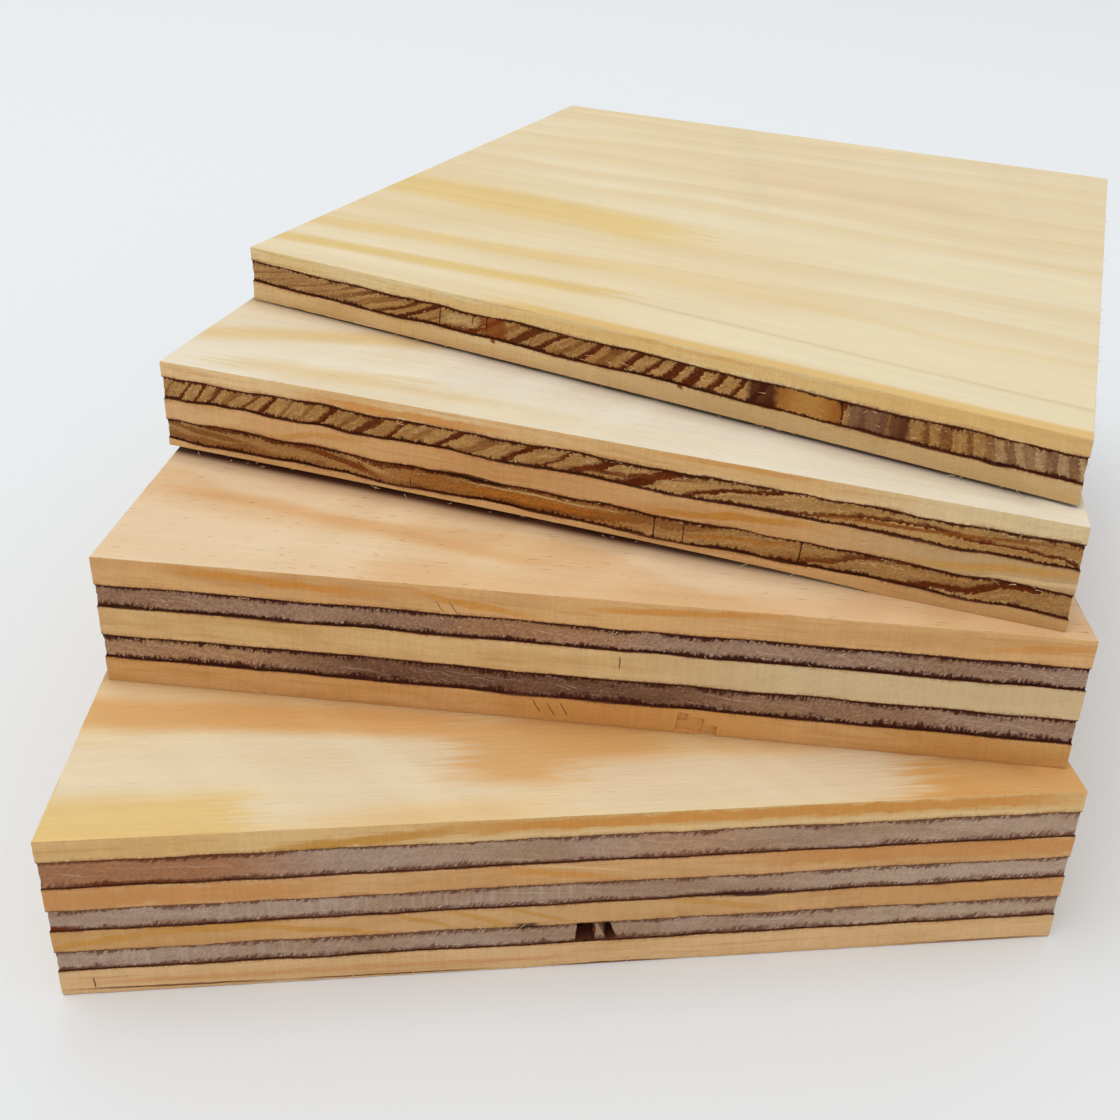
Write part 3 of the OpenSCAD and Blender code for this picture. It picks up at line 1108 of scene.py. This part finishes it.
# Near-black painted shade for the knot hole's walls.
KNOT_HOLE_SHADE = rough_solid("knot_hole_shade", tone(16, 9, 8), tone(44, 24, 16), 0.8)
KNOT_WOOD = rough_solid("knot_stub", tone(140, 84, 40), tone(84, 42, 18), 0.6)
TORN_WOOD = rough_solid("torn_wood", tone(180, 116, 50), tone(134, 80, 32), 0.7)
FIBRE = rough_solid("loose_fibre", tone(236, 208, 164), tone(214, 176, 124), 0.9)
UNDERSIDE = rough_solid("underside_wood", tone(206, 162, 108), tone(188, 140, 88), 4.0)
# Dark glue on the glued faces between plies, and painted shade inside the hollows under the front edges.
GLUE_AND_GAP_SHADE = rough_solid("glue_and_gap_shade", tone(56, 26, 14), tone(96, 54, 30), 1.2, 0.45)

# Hollows under the front edges: middle, half length, depth inwards and rise, in mm. Their insides are
# painted dark as shade.
SCOOPS = {"third_back": (26, 56, 16, 0.85), "top_back": (66, 66, 8, 0.42)}

# The knot hole's cuts: place along the edge, half widths along and across, lean, and height over the ply's
KNOT_CUTS = (
    (51.0, (1.0, 2.6), 0.0, 1.02),
    (53.2, (0.55, 2.0), -0.35, 1.02),
    (52.2, (1.5, 1.2), 0.0, 0.9),
)

# The chip's steps: place along the edge, width, height of the middle, height and depth, in mm
CHIP_CUTS = ((62.3, 2.8, 1.3, 2.0, 0.3), (63.9, 2.4, 0.7, 1.5, 0.22), (61.6, 1.0, 2.1, 1.2, 0.4))

# Loose fibres: side, start, stop, height, scatter, number, longest
WHISKERS = {
    "bottom_back": (("front", 1, 99, 0.45, 0.1, 26, 0.9), ("right", 1, 40, 0.6, 0.2, 8, 0.9)),
    "bottom_face": (("front", 2, 98, 20.1, 0.1, 14, 0.6), ("left", 2, 60, 19.9, 0.3, 10, 0.8)),
    "bottom_inner_2": (("front", 40, 60, 6.9, 0.9, 6, 1.4),),
    "second_back": (("front", 2, 98, 0.1, 0.1, 18, 0.8), ("left", 2, 60, 1.0, 0.9, 16, 1.2)),
    "second_crossband_2": (("left", 1, 50, 4.5, 1.2, 22, 1.6),),
    "second_crossband_1": (("left", 1, 50, 11.2, 1.2, 22, 1.6), ("front", 1, 99, 11.2, 1.2, 26, 0.6)),
    "second_inner": (("left", 1, 50, 8.0, 1.6, 12, 1.2),),
    "second_face": (("front", 2, 98, 15.8, 0.1, 12, 0.6), ("left", 1, 50, 15.2, 0.7, 14, 1.2)),
    "third_back": (("front", 2, 98, 0.6, 0.3, 26, 1.0), ("left", 1, 60, 0.6, 0.5, 10, 1.0)),
    "third_inner": (("front", 76, 81, 5.4, 0.8, 3, 2.4), ("front", 5, 98, 5.8, 1.2, 10, 0.8)),
    "third_crossband_1": (("front", 20, 95, 9.4, 0.5, 40, 0.9), ("right", 1, 60, 8.6, 1.2, 12, 1.0)),
    "third_crossband_2": (("front", 20, 98, 3.9, 0.5, 34, 0.9),),
    "third_face": (("front", 2, 98, 11.9, 0.1, 10, 0.6),),
    "top_crossband": (("front", 14, 92, 4.0, 1.1, 46, 0.8), ("right", 1, 60, 4.0, 1.2, 12, 1.0)),
    "top_back": (("front", 2, 98, 0.4, 0.2, 24, 1.0),),
    "top_face": (("front", 2, 98, 7.4, 0.1, 10, 0.5), ("right", 2, 90, 7.2, 0.3, 12, 0.7)),
}


def under_next(name):
    """Where the next sheet's front edge crosses this one: place at the left, slope and right end, in mm."""
    if name == "top":
        return None
    here = Sheet(name)
    above = Sheet(SHEETS[SHEETS.index(name) + 1])
    to_here = Matrix.Rotation(-here.turn, 4, "Z") @ Matrix.Translation(-here.place)
    corner = to_here @ above.place
    slope = math.tan(above.turn - here.turn)
    right = corner.x + above.width * math.cos(above.turn - here.turn)
    return (corner.y - corner.x * slope) / MM, slope, right / MM


chance = random.Random(12)
fibre_blank = whisker_blank()
for sheet_name in SHEETS:
    sheet = Sheet(sheet_name)
    blank = sawn_blank(sheet.width, sheet.depth)
    # The face gets a painted shadow strip where the next sheet's front edge crosses it.
    face_look = dict(FACE_LOOKS[sheet_name], dark=under_next(sheet_name))
    top_face = peeled_face(sheet_name + "_face_figure", face_look)
    for number, node in enumerate(sheet.nodes):
        lies_on_ply = number > 0
        bears_ply = number < len(sheet.nodes) - 1
        crossband = "crossband" in node
        relief = 0.2 if crossband else 0.08
        setback = 0.1 * MM if crossband else 0.0
        piece = cut_ply(blank, sheet, node, lies_on_ply, bears_ply, setback)
        ply_mm = sheet.ply(node)[1] / MM
        if crossband:
            front = crosscut_edge(node + "_end_grain", "along", ply_mm, CROSSBAND_LOOKS[node])
            side = ripcut_edge(node + "_long_grain", "across", ply_mm, dict(SIDE_LOOK, shift=2.3 * number))
        else:
            look = dict(PALE_LOOK, **LONG_LOOKS[node])
            front = ripcut_edge(node + "_long_grain", "along", ply_mm, look, lies_on_ply, bears_ply)
            lean = (-1.5, 0.8, -0.6, 1.7)[number // 2]
            pace = 0.12 + 0.05 * (number % 4)
            end_look = dict(END_LOOK, shift=3.1 * number + sheet.turn, pace=pace, lean=lean)
            side = crosscut_edge(node + "_end_grain", "across", ply_mm, end_look, lies_on_ply, bears_ply)
        over = GLUE_AND_GAP_SHADE if bears_ply else top_face
        under = GLUE_AND_GAP_SHADE if lies_on_ply else UNDERSIDE
        for material in (front, side, over, under):
            piece.data.materials.append(material)
        for face in piece.data.polygons:
            normal = face.normal
            if normal.z > 0.7:
                face.material_index = 2
            elif normal.z < -0.7:
                face.material_index = 3
            elif abs(normal.x) > abs(normal.y):
                face.material_index = 1
            else:
                face.material_index = 0
        roughen(piece, sheet, node, lies_on_ply, bears_ply, relief, setback)
        if node in SCOOPS:
            scoop(piece, sheet, *SCOOPS[node])
        if node == "bottom_crossband_3":
            knot_hole(piece, sheet, node)
        if node == "second_back":
            chip(piece, sheet, node)
        mend_place(piece, sheet, node)
        grow_whiskers(piece, sheet, fibre_blank, WHISKERS.get(node, ()))
        activate(piece)
        bpy.ops.object.shade_smooth_by_angle(angle=math.radians(50))
        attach(piece, "root")
        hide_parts(node)
    bpy.data.objects.remove(blank)
bpy.data.objects.remove(fibre_blank)


# ---------------------------------------------------------------- floor, light and camera


def pale_floor():
    bpy.ops.mesh.primitive_plane_add(size=4, location=(0, 0, -0.00005))
    floor = bpy.context.object
    floor.name = "studio_floor"
    material = bpy.data.materials.new("pale_floor")
    material.use_nodes = True
    shader = material.node_tree.nodes["Principled BSDF"]
    shader.inputs["Base Color"].default_value = tone(242, 244, 244)
    shader.inputs["Roughness"].default_value = 0.8
    shader.inputs["Specular IOR Level"].default_value = 0.1
    floor.data.materials.append(material)


def soft_light(name, spot, aim, size, watts):
    data = bpy.data.lights.new(name, "AREA")
    data.shape = "SQUARE"
    data.size = size
    data.energy = watts
    light = bpy.data.objects.new(name, data)
    bpy.context.collection.objects.link(light)
    light.location = spot
    light.rotation_euler = (Vector(aim) - Vector(spot)).to_track_quat("-Z", "Y").to_euler()


pale_floor()
soft_light("window", (-0.7, -0.2, 3.0), (0, 0, 0), 2.0, 33)
world = bpy.data.worlds.new("studio")
world.use_nodes = True
world.node_tree.nodes["Background"].inputs["Color"].default_value = tone(248, 251, 255)
world.node_tree.nodes["Background"].inputs["Strength"].default_value = 0.68
bpy.context.scene.world = world
bpy.context.scene.view_settings.view_transform = "Standard"

CAMERA_SPOT = Vector((-0.0098, -0.1216, 0.1053))
CAMERA_PITCH = math.radians(21.14)
CAMERA_YAW = math.radians(-5.01)
CAMERA_ROLL = math.radians(1.5)
camera_data = bpy.data.cameras.new("camera")
camera_data.lens = 34.05
camera_data.sensor_width = 36
camera_data.shift_y = -0.27
camera_data.clip_start = 0.01
camera = bpy.data.objects.new("camera", camera_data)
bpy.context.collection.objects.link(camera)
look = Euler((math.pi / 2 - CAMERA_PITCH, 0, CAMERA_YAW)).to_matrix() @ Matrix.Rotation(CAMERA_ROLL, 3, "Z")
camera.matrix_world = Matrix.Translation(CAMERA_SPOT) @ look.to_4x4()
bpy.context.scene.camera = camera
